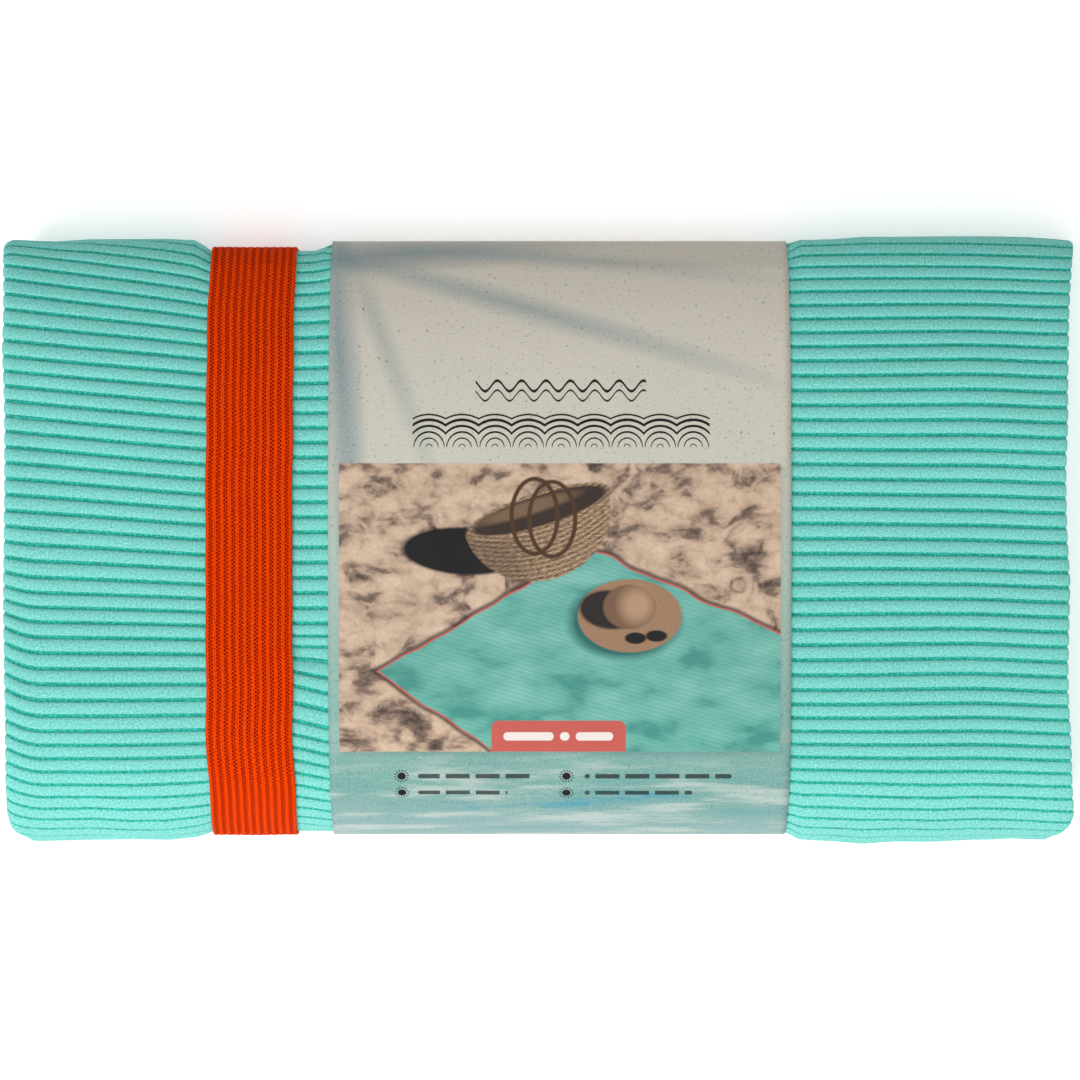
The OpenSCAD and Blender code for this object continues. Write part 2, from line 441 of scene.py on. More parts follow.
# ------- the two loops
class Outline:
    """The bundle's outline at one x. w is the length along it from the middle of the front, first
    towards +Y and then back under the bundle."""

    def __init__(self, x):
        r_neg, r_low, r_high = STACK / 2, 2 * PITCH, PITCH
        top, low, neg = HALF_W - r_high, HALF_W - r_low, r_neg - HALF_W
        points = ([(0, STACK)] + self.level(0, top, STACK, 90)
                  + self.arc(top, STACK - r_high, r_high, 90, 0, 60)
                  + self.arc(low, r_low, r_low, 0, -90, 60) + self.level(low, neg, 0, 160)
                  + self.arc(neg, r_neg, r_neg, 270, 90, 120) + self.level(neg, 0, STACK, 90)
                  + [(0, STACK)])
        y, z = np.array(points).T
        _, self.y, self.z = settle(np.full(len(y), x), y, z)
        self.w = np.concatenate([[0], np.cumsum(np.hypot(np.diff(self.y), np.diff(self.z)))])
        self.length = self.w[-1]

    @staticmethod
    def arc(y, z, radius, start, end, count):
        angles = np.radians(np.linspace(start, end, count))
        return [(y + radius * math.cos(a), z + radius * math.sin(a)) for a in angles]

    @staticmethod
    def level(start, end, z, count):
        return [(y, z) for y in np.linspace(start, end, count + 1)[1:-1]]

    def at(self, w, grow):
        """Places (y, z) at w, out from the outline by grow."""
        def find(shift, row):
            return np.interp((w + shift) % self.length, self.w, row)

        step = 0.4 * MM
        d_y = find(step, self.y) - find(-step, self.y)
        d_z = find(step, self.z) - find(-step, self.z)
        size = np.hypot(d_y, d_z)
        return find(0, self.y) - grow * d_z / size, find(0, self.z) + grow * d_y / size

    def under(self, y):
        """w of a place under the bundle."""
        back = (self.w > 0.3 * self.length) & (self.w < 0.7 * self.length)
        return np.interp(-y, -self.y[back], self.w[back])


JOIN_Y = 20 * MM                          # the elastic's butt join, under the bundle
ELASTIC_X = EL0 - 0.2 * MM
ELASTIC_W = EL1 - EL0 - 0.8 * MM
FIRST_GROOVE, ELASTIC_RIB, GROOVES = 1.45 * MM, 2.12 * MM, 11
STITCH = 1.05 * MM                        # spacing of the elastic's stitches along it
ELASTIC_GAP = 0.05 * MM                   # between the cloth and the elastic


def elastic_profile():
    """The elastic's cross-section, going round it: places across it and heights."""
    radius = ELASTIC_T / 2
    angles = np.radians([-90, -55, -20, 15, 50])
    side, up = radius - radius * np.cos(angles), radius + radius * np.sin(angles)
    steps = np.array([-0.5, -0.30, -0.16, -0.07, 0, 0.07, 0.16, 0.30]) * ELASTIC_RIB
    across = np.concatenate([FIRST_GROOVE + k * ELASTIC_RIB + steps for k in range(GROOVES)])
    phase = (across - FIRST_GROOVE) / ELASTIC_RIB
    off_groove = np.abs(phase - np.round(phase)) * ELASTIC_RIB
    height = ELASTIC_T - 0.16 * MM * np.exp(-(off_groove / (0.34 * MM)) ** 2)
    below = np.linspace(ELASTIC_W, 0, 8)[1:-1]
    across = np.concatenate([side, across, ELASTIC_W - side[::-1], below])
    height = np.concatenate([up, height, up[::-1], 0 * below])
    return across, height


def make_elastic():
    """A closed ring of ribbed webbing, with a slit where its two ends meet."""
    outline = Outline((EL0 + EL1) / 2)
    join = outline.under(JOIN_Y)
    across, height = elastic_profile()
    near = np.array([0.12, 0.35]) * MM
    run = np.concatenate([near, np.linspace(1 * MM, outline.length - 1 * MM, 420),
                          outline.length - near[::-1]])
    w, a = np.meshgrid(join + run, across, indexing="ij")
    from_join = np.minimum(run, outline.length - run)[:, None]
    slit = 0.35 * MM * (from_join < 0.2 * MM) * (height > 0.8 * ELASTIC_T)
    stretch = 0.06 * MM * Waves(41, 14 * MM, 6)(a, w)
    y, z = outline.at(w, ELASTIC_GAP + height + stretch * (height / ELASTIC_T) - slit)
    edge = 0.12 * MM * Waves(43, 25 * MM, 5)(w, 0)
    x = ELASTIC_X + a + edge
    uv = np.meshgrid(np.append(run, outline.length + run[0]), np.append(across, 0), indexing="ij")
    points, uv = np.stack([x, y, z], -1), np.stack(uv[::-1], -1)
    return grid_mesh("knitted_elastic_loop", points, uv, "Knit", ring_rows=True, ring_columns=True)


def make_join_stitches():
    """Bars of thread across the elastic's join, each a round-ended tube pressed on its back."""
    data = bpy.data.curves.new("elastic_join_threads", "CURVE")
    data.dimensions = "3D"
    data.bevel_depth = 0.24 * MM
    data.bevel_resolution = 3
    data.use_fill_caps = True
    for k in range(GROOVES):
        x = ELASTIC_X + FIRST_GROOVE + k * ELASTIC_RIB
        for lean in (-0.45 * MM, 0.45 * MM):
            spline = data.splines.new("POLY")
            spline.points.add(4)
            for point, t in zip(spline.points, (-1, -0.8, 0, 0.8, 1)):
                z = 0.25 * MM if abs(t) < 1 else 0.75 * MM
                point.co = (x + lean * t, JOIN_Y + t * 2.4 * MM, z, 1)
    return link("elastic_join_threads", data)


LAP_Y, LAP = -5 * MM, 15 * MM             # the sleeve's free end, and the length of its glued lap


def make_sleeve():
    """A strip of card rolled round the bundle, with one end glued inside the other."""
    outline = Outline((SL0 + SL1) / 2)
    end = outline.under(LAP_Y)
    start = end - outline.length
    run = np.concatenate([np.linspace(start - LAP, start, 14)[:-1],
                          start + np.array([0, 0.3, 0.6, 1.0, 1.4]) * MM,
                          np.linspace(start + 2.5 * MM, end, 330)])
    across = np.linspace(SL0, SL1, 61)
    w, x = np.meshgrid(run, across, indexing="ij")
    lap_rise = (CARD_T + 0.1 * MM) * (1 - ramp(w, start + 0.2 * MM, start + 1.4 * MM))
    # The card stands further off the cloth low down than on the front
    height = outline.at(w, 0)[1]
    grow = 0.68 * MM + 0.60 * MM * (1 - ramp(height, 2 * MM, 18 * MM))
    in_front = ramp(height, 16 * MM, 28 * MM)
    uneven = 0.08 * MM * Waves(51, 60 * MM)(x, w) + 0.03 * MM * Waves(53, 22 * MM)(x, w)
    y, z = outline.at(w, grow - lap_rise + in_front * uneven)
    points, uv = np.stack([x, y, z], -1), np.stack([x, w], -1)
    sleeve = grid_mesh("printed_card_sleeve", points, uv, "Print")
    solid = sleeve.modifiers.new("card", "SOLIDIFY")
    solid.thickness = CARD_T
    solid.offset = -1
    solid.use_even_offset = True
    solid.material_offset = 1
    solid.material_offset_rim = 1
    return sleeve


# ------- materials
class Nodes:
    """Short names for making shader nodes."""

    def __init__(self, name):
        self.material = bpy.data.materials.new(name)
        self.material.use_nodes = True
        self.tree = self.material.node_tree
        self.shader = self.tree.nodes["Principled BSDF"]

    def put(self, value, socket):
        if isinstance(value, bpy.types.NodeSocket):
            self.tree.links.new(value, socket)
        elif socket.type == "RGBA" and len(value) == 3:
            socket.default_value = (*value, 1)
        else:
            socket.default_value = value

    def math(self, operation, *values, clamp=False):
        node = self.tree.nodes.new("ShaderNodeMath")
        node.operation = operation
        node.use_clamp = clamp
        for value, socket in zip(values, node.inputs):
            self.put(value, socket)
        return node.outputs[0]

    def vector(self, operation, *values):
        node = self.tree.nodes.new("ShaderNodeVectorMath")
        node.operation = operation
        inputs = [socket for socket in node.inputs if socket.enabled]
        for value, socket in zip(values, inputs):
            self.put(value, socket)
        return node.outputs["Value" if operation in ("LENGTH", "DOT_PRODUCT") else "Vector"]

    def split(self, vector):
        node = self.tree.nodes.new("ShaderNodeSeparateXYZ")
        self.put(vector, node.inputs[0])
        return node.outputs[0], node.outputs[1]

    def uv(self, name):
        node = self.tree.nodes.new("ShaderNodeUVMap")
        node.uv_map = name
        return node.outputs[0]

    def place(self):
        return self.tree.nodes.new("ShaderNodeTexCoord").outputs["Object"]

    def stretch(self, vector, scale, turn=0.0):
        node = self.tree.nodes.new("ShaderNodeMapping")
        self.put(vector, node.inputs["Vector"])
        node.inputs["Scale"].default_value = scale
        node.inputs["Rotation"].default_value = (0, 0, turn)
        return node.outputs[0]

    def noise(self, vector, scale, detail=2.0, rough=0.5):
        node = self.tree.nodes.new("ShaderNodeTexNoise")
        self.put(vector, node.inputs["Vector"])
        node.inputs["Scale"].default_value = scale
        node.inputs["Detail"].default_value = detail
        node.inputs["Roughness"].default_value = rough
        return node.outputs["Fac"]

    def noise_colour(self, vector, scale, detail):
        """Three noises at once, each from -0.5 to 0.5."""
        node = self.tree.nodes.new("ShaderNodeTexNoise")
        self.put(vector, node.inputs["Vector"])
        node.inputs["Scale"].default_value = scale
        node.inputs["Detail"].default_value = detail
        return self.vector("SUBTRACT", node.outputs["Color"], (0.5, 0.5, 0.5))

    def ramp(self, value, stops):
        """A colour, or a grey level, that changes with value: stops are (value, colour)."""
        node = self.tree.nodes.new("ShaderNodeValToRGB")
        self.put(value, node.inputs["Fac"])
        points = node.color_ramp.elements
        while len(points) < len(stops):
            points.new(0.5)
        for point, (at, colour) in zip(points, stops):
            point.position = at
            point.color = (*colour, 1) if isinstance(colour, tuple) else (colour,) * 3 + (1,)
        return node.outputs["Color"]

    def mix(self, share, a, b):
        node = self.tree.nodes.new("ShaderNodeMix")
        node.data_type = "RGBA"
        self.put(share, node.inputs["Factor"])
        self.put(a, node.inputs[6])
        self.put(b, node.inputs[7])
        return node.outputs[2]

    def tint(self, mask, share, below, colour):
        """Lays a share of a colour over the one below, where the mask is."""
        return self.mix(self.math("MULTIPLY", mask, share), below, colour)

    def bump(self, height, strength, distance):
        node = self.tree.nodes.new("ShaderNodeBump")
        node.inputs["Strength"].default_value = strength
        node.inputs["Distance"].default_value = distance
        self.put(height, node.inputs["Height"])
        return node.outputs[0]

    def under(self, value, limit, soft):
        """1 where value is less than limit, and 0 where it is more."""
        return self.math("MULTIPLY_ADD", value, -1 / soft, limit / soft + 0.5, clamp=True)

    def over(self, value, limit, soft):
        """1 where value is more than limit, and 0 where it is less."""
        return self.math("MULTIPLY_ADD", value, 1 / soft, 0.5 - limit / soft, clamp=True)

    def both(self, *masks):
        result = masks[0]
        for mask in masks[1:]:
            result = self.math("MULTIPLY", result, mask)
        return result

    def least(self, values):
        result = values[0]
        for value in values[1:]:
            result = self.math("MINIMUM", result, value)
        return result

    def oval(self, point, centre, radii, soft=0.2, turn=0.0):
        """How much of an oval covers each point."""
        off = self.vector("SUBTRACT", point, (*centre, 0))
        if turn:
            off = self.stretch(off, (1, 1, 1), turn)
        off = self.vector("DIVIDE", off, (*radii, 1))
        return self.under(self.vector("LENGTH", off), 1, soft / min(radii))

    def block(self, point, centre, size, corner=0.3, soft=0.2):
        """How much of a rectangle with round corners covers each point."""
        off = self.vector("ABSOLUTE", self.vector("SUBTRACT", point, (*centre, 0)))
        off = self.vector("SUBTRACT", off, (size[0] / 2 - corner, size[1] / 2 - corner, 0))
        off = self.vector("MAXIMUM", off, (0, 0, 0))
        return self.under(self.vector("LENGTH", off), corner, soft)

    def left_of(self, point, start, end):
        """Distance of each point from a line, more than 0 on its left."""
        (x0, y0), (x1, y1) = start, end
        size = math.hypot(x1 - x0, y1 - y0)
        across = ((y0 - y1) / size, (x1 - x0) / size, 0)
        along = self.vector("DOT_PRODUCT", point, across)
        return self.math("SUBTRACT", along, x0 * across[0] + y0 * across[1])

    def finish(self, colour, roughness, normal=None, sheen=0.0, sheen_tint=(1, 1, 1), level=0.5):
        self.put(colour, self.shader.inputs["Base Color"])
        self.put(roughness, self.shader.inputs["Roughness"])
        if normal is not None:
            self.put(normal, self.shader.inputs["Normal"])
        self.shader.inputs["Sheen Weight"].default_value = sheen
        self.shader.inputs["Sheen Tint"].default_value = (*sheen_tint, 1)
        self.shader.inputs["Specular IOR Level"].default_value = level
        return self.material


def srgb(r, g, b):
    """8-bit screen colour to the linear values that shaders use."""
    def linear(c):
        return c / 12.92 if c <= 0.04045 else ((c + 0.055) / 1.055) ** 2.4

    return tuple(linear(v / 255) for v in (r, g, b))


def cloth_material():
    """Aqua microfibre. Each groove is painted darker, as painted shade in the recess, in a dotted
    line like stitches.
    """
    n = Nodes("microfibre_rib")
    vector = n.uv("Cloth")
    _, v = n.split(vector)
    phase = n.math("FRACT", n.math("MULTIPLY_ADD", v, 1 / RIB, 0.5))
    off_groove = n.math("ABSOLUTE", n.math("SUBTRACT", phase, 0.5))
    groove = n.under(off_groove, 0.122, 0.035)
    pile = n.noise(vector, 1700, 2, 0.65)
    streak = n.noise(n.stretch(vector, (500, 2400, 1)), 1, 2, 0.55)
    patch = n.noise(vector, 26, 3, 0.5)
    base = n.mix(n.ramp(pile, [(0.33, 0.0), (0.67, 1.0)]), srgb(90, 180, 170), srgb(151, 226, 217))
    base = n.tint(streak, 0.3, base, srgb(74, 170, 158))
    base = n.tint(patch, 0.22, base, srgb(122, 210, 198))
    # Painted shade: the grooves are darker than the ribs, broken into dots like stitches
    dots = n.noise(n.stretch(vector, (1300, 1500, 1)), 1, 1)
    broken = n.math("MULTIPLY_ADD", dots, 0.45, 0.70)
    groove_shade_stitches = n.mix(n.ramp(dots, [(0.42, 0.0), (0.60, 1.0)]), srgb(4, 134, 117), srgb(48, 190, 173))
    colour = n.mix(n.math("MULTIPLY", groove, broken, clamp=True), base, groove_shade_stitches)
    height = n.math("MULTIPLY_ADD", streak, 0.6, pile)
    normal = n.bump(height, 0.5, 0.25 * MM)
    return n.finish(colour, 0.93, normal, sheen=0.14, sheen_tint=srgb(205, 246, 240), level=0.15)


def thread_material(name, colour, shade):
    """Close parallel threads, as in overlock stitching: each turn is painted light along its crown,
    with painted shade between the turns.
    """
    n = Nodes(name)
    u, v = n.split(n.place())
    turns = n.math("SINE", n.math("MULTIPLY", n.math("ADD", u, v), 2 * math.pi / (0.9 * MM)))
    twist = n.noise(n.place(), 2200, 2)
    light = n.math("MULTIPLY_ADD", turns, 0.3, n.math("MULTIPLY", twist, 0.9), clamp=True)
    normal = n.bump(light, 0.8, 0.2 * MM)
    return n.finish(n.mix(light, shade, colour), 0.75, normal, sheen=0.2)


def elastic_material():
    """Orange knitted elastic: columns of small staggered stitches in each groove, drawn dark partly
    as painted shade between the loops, and the grooves painted a little darker as shade.
    """
    n = Nodes("orange_rib_elastic")
    vector = n.uv("Knit")
    u, v = n.split(vector)
    shifted = n.math("MULTIPLY_ADD", u, 1 / ELASTIC_RIB, 0.5 - FIRST_GROOVE / ELASTIC_RIB)
    off = n.math("SUBTRACT", n.math("FRACT", shifted), 0.5)
    away = n.math("ABSOLUTE", off)
    patch = n.noise(vector, 110, 2)
    stitch = n.math("MULTIPLY_ADD", v, 2 * math.pi / STITCH, n.math("MULTIPLY", patch, 7.0))
    lean = n.math("MULTIPLY_ADD", away, 5.0, stitch)
    row = n.math("SINE", n.math("MULTIPLY_ADD", n.math("SIGN", off), math.pi / 2, lean))
    column = n.under(n.math("ABSOLUTE", n.math("SUBTRACT", away, 0.14)), 0.11, 0.06)
    yarn = n.noise(n.stretch(vector, (2200, 1500, 1)), 1, 2, 0.6)
    base = n.mix(n.ramp(yarn, [(0.34, 0.0), (0.66, 1.0)]), srgb(196, 42, 0), srgb(238, 76, 0))
    base = n.tint(patch, 0.3, base, srgb(200, 48, 0))
    # Painted shade: the whole groove band is a little darker, as in a recess
    base = n.tint(n.under(away, 0.25, 0.08), 0.15, base, srgb(168, 24, 0))
    # The stitches are partly stitch pattern and partly painted shade between the loops
    stitch_shade = n.both(n.over(row, 0.0, 0.3), column)
    colour = n.mix(stitch_shade, base, srgb(126, 8, 0))
    height = n.math("SUBTRACT", n.math("MULTIPLY", yarn, 0.8), stitch_shade)
    normal = n.bump(height, 0.7, 0.25 * MM)
    return n.finish(colour, 0.9, normal, level=0.04)


def card_core_material():
    n = Nodes("white_card_core")
    fibre = n.noise(n.place(), 1800, 3, 0.6)
    colour = n.mix(fibre, srgb(214, 213, 206), srgb(240, 239, 234))
    return n.finish(colour, 0.9, n.bump(fibre, 0.3, 0.05 * MM), level=0.3)


def glue_material():
    n = Nodes("dried_glue")
    blotch = n.noise(n.place(), 240, 3)
    colour = n.mix(blotch, srgb(222, 205, 160), srgb(240, 230, 200))
    return n.finish(colour, n.math("MULTIPLY_ADD", blotch, 0.4, 0.25), n.bump(blotch, 0.5, 0.1 * MM))


def satin_material():
    n = Nodes("label_satin")
    weave = n.noise(n.stretch(n.place(), (900, 5200, 900)), 1, 1)
    colour = n.mix(weave, srgb(226, 226, 220), srgb(250, 250, 247))
    return n.finish(colour, 0.38, n.bump(weave, 0.4, 0.05 * MM), sheen=0.2)


# ------- the print, in mm on the card
INK = srgb(14, 12, 10)
CORAL = srgb(186, 86, 76)
PANEL_MIDDLE, PANEL_SIZE = (5.5, -19.4), (123.0, 80.7)
BADGE_MIDDLE, BADGE_SIZE = (5.2, -56.8), (37.6, 12.0)
BADGE_BARS = ((-3.2, -55.3), 14.0), ((6.9, -55.3), 2.6), ((15.2, -55.3), 10.4)
# Soft shade of palm leaves: middle, half size, turn and strength
LEAVES = (((-40, 84), (32, 4.6), -0.08, 0.70), ((-6, 66), (48, 2.6), 0.30, 0.55),
          ((-56, 50), (44, 3.4), 1.50, 0.75), ((-44, 56), (30, 2.2), 1.22, 0.36),
          ((-54, 6), (34, 3.0), 1.62, 0.30), ((12, 81), (36, 2.4), 0.12, 0.36))


def card_background(n, point):
    """Dry sand colours at the top, shallow water at the bottom, and the soft shade of leaves."""
    x, y = n.split(point)
    slow = n.noise(point, 0.03, 3, 0.5)
    wave = n.noise(n.stretch(point, (0.022, 0.16, 1)), 1, 4, 0.62)
    level = n.math("MULTIPLY_ADD", y, 1 / 180, 0.5)
    level = n.math("MULTIPLY_ADD", n.math("SUBTRACT", slow, 0.5), 0.16, level, clamp=True)
    colour = n.ramp(level, [(0.0, srgb(124, 158, 157)), (0.10, srgb(98, 150, 143)),
                            (0.24, srgb(124, 170, 160)), (0.42, srgb(165, 188, 175)),
                            (0.62, srgb(192, 190, 176)), (0.80, srgb(200, 194, 181)),
                            (1.0, srgb(196, 188, 175))])
    wet = n.under(y, -58, 26)
    foam = n.both(n.ramp(wave, [(0.50, 0.0), (0.62, 1.0)]), wet)
    colour = n.tint(foam, 0.7, colour, srgb(178, 190, 185))
    deep = n.both(n.ramp(wave, [(0.34, 1.0), (0.46, 0.0)]), n.oval(point, (14, -76), (52, 14), 9))
    colour = n.tint(deep, 0.85, colour, srgb(46, 138, 156))
    for middle, size, turn, strength in LEAVES:
        leaf = n.oval(point, middle, size, min(size) * 1.8, turn)
        colour = n.tint(leaf, strength, colour, srgb(96, 128, 138))
    speck = n.noise(point, 0.9, 2, 0.6)
    colour = n.tint(n.over(speck, 0.66, 0.06), 0.55, colour, srgb(84, 102, 98))
    grain = n.noise(point, 2.4, 2, 0.7)
    colour = n.tint(n.over(grain, 0.60, 0.14), 0.4, colour, srgb(216, 213, 202))
    return n.tint(n.under(grain, 0.38, 0.12), 0.4, colour, srgb(134, 146, 138))


def beach_picture(n, point):
    """A towel of this kind on the sand, with a straw basket and a hat, all of simple shapes."""
    picture = printed_sand(n, point)
    picture = printed_towel(n, point, picture)
    picture = printed_basket(n, point, picture)
    return printed_hat(n, point, picture)


def printed_sand(n, point):
    """Trodden sand in low sun: soft mounds, with broken shade in the hollows between them."""
    bend = n.vector("SCALE", n.noise_colour(point, 0.07, 2), 4.0)
    bent = n.stretch(n.vector("ADD", point, bend), (0.080, 0.145, 1), 0.75)
    mounds = n.noise(bent, 1, 4, 0.58)
    sand = n.ramp(mounds, [(0.33, srgb(66, 52, 46)), (0.41, srgb(120, 100, 86)),
                           (0.48, srgb(176, 150, 128)), (0.58, srgb(200, 174, 150)),
                           (0.75, srgb(212, 189, 165))])
    fine = n.noise(point, 0.9, 3, 0.65)
    return n.tint(n.ramp(fine, [(0.42, 0.0), (0.62, 1.0)]), 0.22, sand, srgb(150, 126, 112))


def printed_towel(n, point, picture):
    """The open towel runs off the picture at the right and at the bottom."""
    wobble = n.math("MULTIPLY_ADD", n.noise(point, 0.07, 1), 3.2, -1.6)
    sides = (((-44, -37), (-14, -59)), ((13, -3), (-44, -37)), ((70, -28), (13, -3)))
    inside = n.math("ADD", n.least([n.left_of(point, *ends) for ends in sides]), wobble)
    ribs = n.math("SINE", n.math("MULTIPLY", n.left_of(point, (0, 0), (40, -12)), 5.2))
    crumple = n.noise(n.stretch(point, (0.06, 0.12, 1), 0.9), 1, 3, 0.5)
    aqua = n.ramp(crumple, [(0.34, srgb(66, 138, 128)), (0.46, srgb(96, 165, 152)),
                            (0.68, srgb(122, 183, 170))])
    aqua = n.mix(n.math("MULTIPLY_ADD", ribs, 0.09, 0.09), aqua, srgb(30, 120, 110))
    picture = n.tint(n.over(inside, -1.4, 0.9), 0.8, picture, srgb(52, 36, 36))
    picture = n.mix(n.over(inside, -0.45, 0.3), picture, CORAL)
    return n.mix(n.over(inside, 0, 0.3), picture, aqua)


def printed_basket(n, point, picture):
    """A soft straw bag that leans over, with two round handles and a long shadow."""
    tilted = n.stretch(n.vector("SUBTRACT", point, (0, 7.5, 0)), (1, 1, 1), -0.30)
    across, up = n.split(tilted)
    bowed = n.math("MULTIPLY_ADD", n.math("MULTIPLY", across, across), -0.012, up)
    rows = n.math("SINE", n.math("MULTIPLY", bowed, 4.6))
    straw = n.noise(n.stretch(tilted, (0.7, 2.6, 1)), 1, 2, 0.6)
    straw = n.math("MULTIPLY_ADD", rows, 0.09, straw)
    straw = n.ramp(straw, [(0.34, srgb(92, 70, 52)), (0.54, srgb(150, 123, 96)),
                           (0.72, srgb(186, 160, 129))])
    picture = n.mix(n.oval(point, (-21, -3.5), (17.5, 6.6), 0.8, 0.05), picture, srgb(9, 7, 9))
    body = n.both(n.oval(tilted, (-1, 0), (20.8, 19.0), 0.5), n.under(up, 0, 0.3))
    picture = n.mix(body, picture, straw)
    side_shade = n.both(body, n.oval(tilted, (-24, -12), (16, 20), 9.0))
    picture = n.tint(side_shade, 0.45, picture, srgb(64, 48, 38))
    picture = n.mix(n.oval(tilted, (0, 0), (21, 5.4), 0.4), picture, straw)
    picture = n.mix(n.oval(tilted, (0, 0.3), (19.6, 4.2), 0.5), picture, srgb(50, 37, 30))
    picture = n.mix(n.oval(tilted, (-3, 1.9), (14, 1.9), 1.0), picture, srgb(112, 88, 66))
    for middle in ((-1.5, 6.2), (3.4, 5.4)):
        ring = n.math("SUBTRACT", n.oval(point, middle, (7.0, 11.0), 0.3),
                      n.oval(point, middle, (5.8, 9.8), 0.3), clamp=True)
        picture = n.mix(ring, picture, srgb(70, 47, 26))
    return picture


def printed_hat(n, point, picture):
    """A felt hat from above, with its shadow, its own shade and a pair of sunglasses."""
    weave = n.noise(point, 1.6, 2, 0.6)
    felt = n.mix(weave, srgb(128, 98, 73), srgb(166, 132, 103))
    lens = srgb(14, 11, 12)
    for oval, colour in (
            (((23.5, -22.8), (15.5, 10.5), 2.5), srgb(34, 100, 94)),      # the shadow
            (((25, -21.5), (14.5, 10.2), 0.4), felt),                     # the brim
            (((19.5, -19.8), (8.5, 5.4), 0.8, 0.1), srgb(34, 26, 24)),    # the crown's own shade
            (((25, -19), (7.4, 6.2), 0.6), srgb(112, 84, 63)),            # the crown
            (((27, -18.6), (4.4, 4.6), 4.0), srgb(172, 138, 109)),        # the light on it
            (((26.6, -27.7), (3.0, 1.6), 0.4), lens),
            (((32.4, -27.1), (3.0, 1.6), 0.4), lens)):
        picture = n.mix(n.oval(point, *oval), picture, colour)
    return picture


WAVE_LENGTH, WAVE_SWING = 6.8, 1.5
WAVY_LINES = (42.6, 0.42), (39.9, 0.28)   # height and thickness of each
WAVY_MIDDLE, WAVY_SIZE = (5.8, 41.2), (47.6, 9.0)
ARCS_MIDDLE, ARCS_HALF, ARCS_LOW = 5.9, 41.4, 25.4          # the row of fans
ARC_WIDTH, ARC_STEP, ARC_OUT = 9.2, 1.7, 9.4                # one fan, arc to arc, outermost arc
DASH_STEP = 8.4
DASHED = (((-18.0, -67.3), 32.5), ((-21.7, -73.2), 25.2),
          ((33.1, -67.3), 41.2), ((27.7, -73.2), 30.3))     # middle and length of each line
SUN_LEFT, SUN_LOW, SUN_X_STEP, SUN_Y_STEP = -38.8, -73.2, 46.2, 5.9


def distance(n, off_x, off_y):
    """Length of the arrow (off_x, off_y)."""
    return n.math("SQRT", n.math("ADD", n.math("POWER", off_x, 2.0), n.math("POWER", off_y, 2.0)))


def wavy_lines(n, point, colour):
    """Two sine waves, one under the other."""
    x, y = n.split(point)
    swing = n.math("SINE", n.math("MULTIPLY", x, 2 * math.pi / WAVE_LENGTH))
    raised = n.math("MULTIPLY_ADD", swing, -WAVE_SWING, y)
    where = n.block(point, WAVY_MIDDLE, WAVY_SIZE)
    for height, thick in WAVY_LINES:
        off = n.math("ABSOLUTE", n.math("SUBTRACT", raised, height))
        colour = n.mix(n.both(n.under(off, thick, 0.2), where), colour, INK)
    return colour


def fans_of_arcs(n, point, colour):
    """Overlapping fans of arcs, thicker towards the top."""
    x, y = n.split(point)
    from_left = n.math("ADD", x, ARCS_HALF - ARCS_MIDDLE + 9 * ARC_WIDTH)    # stays above 0
    folded = n.math("PINGPONG", from_left, ARC_WIDTH / 2)
    off_x = n.math("SUBTRACT", ARC_WIDTH / 2, folded)
    off_y = n.math("SUBTRACT", y, ARCS_LOW)
    radius = distance(n, off_x, off_y)
    rings = n.math("PINGPONG", radius, ARC_STEP)
    rings = n.math("ABSOLUTE", n.math("SUBTRACT", rings, ARC_STEP / 2))
    thick = n.math("MULTIPLY_ADD", off_y, 0.04, 0.10)
    from_middle = n.math("ABSOLUTE", n.math("SUBTRACT", x, ARCS_MIDDLE))
    line = n.both(n.math("LESS_THAN", rings, thick), n.under(radius, ARC_OUT, 0.2),
                  n.over(off_y, 0, 0.2), n.under(from_middle, ARCS_HALF, 0.2))
    return n.mix(line, colour, INK)


def dashed_lines(n, point, colour):
    """Four rows of dashes with round ends."""
    x, _ = n.split(point)
    dashes = n.over(n.math("SINE", n.math("MULTIPLY", x, 2 * math.pi / DASH_STEP)), -0.82, 0.1)
    for middle, length in DASHED:
        line = n.both(n.block(point, middle, (length, 1.5), 0.7), dashes)
        colour = n.tint(line, 0.85, colour, INK)
    return colour


def suns(n, point, colour):
    """Four small suns, one before each dashed line."""
    x, y = n.split(point)
    on_right = n.math("GREATER_THAN", x, SUN_LEFT + SUN_X_STEP / 2)
    on_top = n.math("GREATER_THAN", y, SUN_LOW + SUN_Y_STEP / 2)
    off_x = n.math("SUBTRACT", x, n.math("MULTIPLY_ADD", on_right, SUN_X_STEP, SUN_LEFT))
    off_y = n.math("SUBTRACT", y, n.math("MULTIPLY_ADD", on_top, SUN_Y_STEP, SUN_LOW))
    radius = distance(n, off_x, off_y)
    around = n.math("MULTIPLY", n.math("ARCTAN2", off_y, off_x), 14)
    rays = n.over(n.math("SINE", around), 0.2, 0.4)
    ring = n.both(n.over(radius, 1.55, 0.15), n.under(radius, 2.05, 0.15), rays)
    return n.mix(n.math("MAXIMUM", ring, n.under(radius, 1.2, 0.2)), colour, INK)


def ornaments(n, point, colour):
    """Waves, dashes and suns, where such a sleeve has its words."""
    for draw in (wavy_lines, fans_of_arcs, dashed_lines, suns):
        colour = draw(n, point, colour)
    return colour


